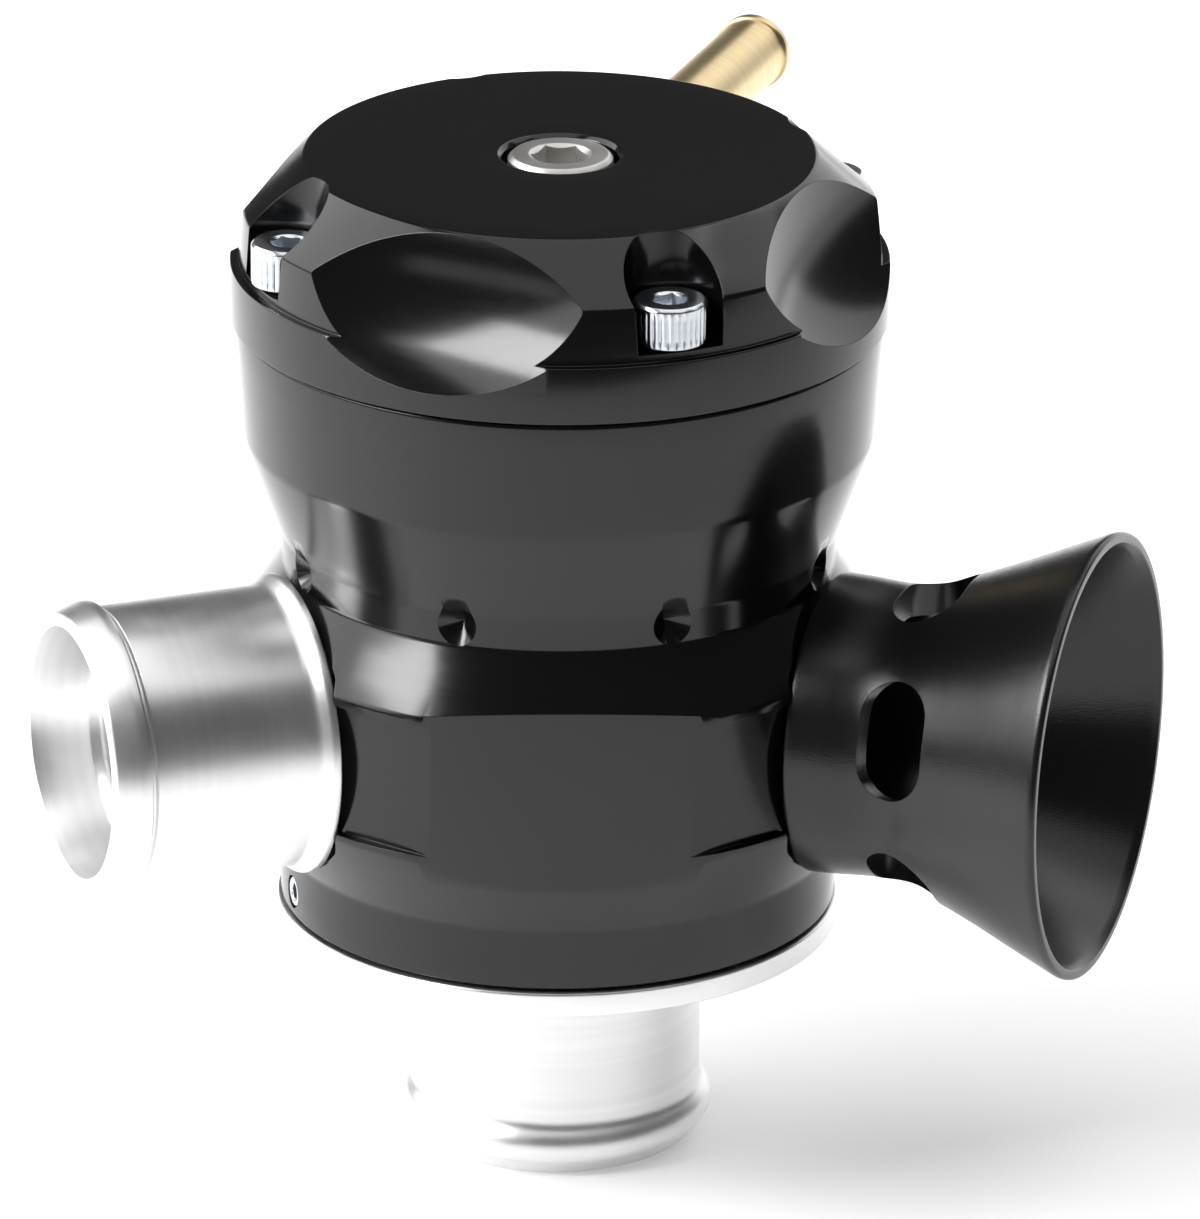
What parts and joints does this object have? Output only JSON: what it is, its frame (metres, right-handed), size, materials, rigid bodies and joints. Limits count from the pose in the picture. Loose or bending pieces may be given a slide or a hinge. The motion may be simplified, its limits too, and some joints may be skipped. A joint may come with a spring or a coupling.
{
  "type": "blow off valve",
  "caption": "Turned two-part valve body with a scalloped cap, an inlet spigot below, a plain side outlet and a slotted vent trumpet, with a sprung piston and a preload screw.",
  "frame": {"origin": "on the valve's axis at the lower end face of the inlet spigot, on which the part stands", "axes": "+Z along the valve's axis from the inlet spigot to the cap, -Y towards the milled front face between the two side outlets, +X towards the side with the trumpet"},
  "size_m": [0.1086, 0.0911, 0.099],
  "materials": {
    "black_anodised": "satin black anodised",
    "bare_aluminium": "fine turned",
    "zinc_steel": "bright zinc plated",
    "stainless": "smooth",
    "brass": "turned",
    "spring_steel": "drawn wire",
    "ring_rubber": "moulded",
    "guide_plastic": "plain"
  },
  "bodies": {
    "housing": {"body": "black_anodised", "cap": "black_anodised", "cap_screw_1": "zinc_steel", "cap_screw_2": "zinc_steel", "cap_screw_3": "zinc_steel", "cap_screw_4": "zinc_steel", "cap_o_ring": "ring_rubber", "adjuster_o_ring": "ring_rubber", "seat_guide_pin": "stainless", "grub_screw_1": "stainless", "grub_screw_2": "stainless", "inlet_base": "bare_aluminium", "inlet_base_o_ring": "ring_rubber", "recirculation_outlet": "bare_aluminium", "recirculation_o_ring": "ring_rubber", "trumpet": "black_anodised", "trumpet_o_ring": "ring_rubber", "vacuum_nipple": "brass"},
    "adjuster": {"adjuster_screw": "stainless", "adjuster_clip": "spring_steel"},
    "seat": {"spring_seat": "bare_aluminium"},
    "valve_piston": {"piston": "bare_aluminium", "piston_ring": "guide_plastic", "valve_spring": "spring_steel"}
  },
  "joints": [
    {"name": "piston_lift", "type": "slide", "parent": "housing", "child": "valve_piston", "axis": [0, 0, 1], "range_m": [0, 0.012], "stiffness_N_per_m": 3000, "springref_m": -0.02, "deforming": ["valve_spring"]},
    {"name": "adjuster_turn", "type": "hinge", "parent": "housing", "child": "adjuster", "pos_m": [0, 0, 0.099], "axis": [0, 0, 1], "range_deg": [-1081, 1081]},
    {"name": "seat_slide", "type": "slide", "parent": "housing", "child": "seat", "axis": [0, 0, 1], "range_m": [-0.003, 0.003]}
  ],
  "couplings": [
    {"joint": "adjuster_turn", "follows": "seat_slide", "rad_per_m": -6283.2}
  ]
}
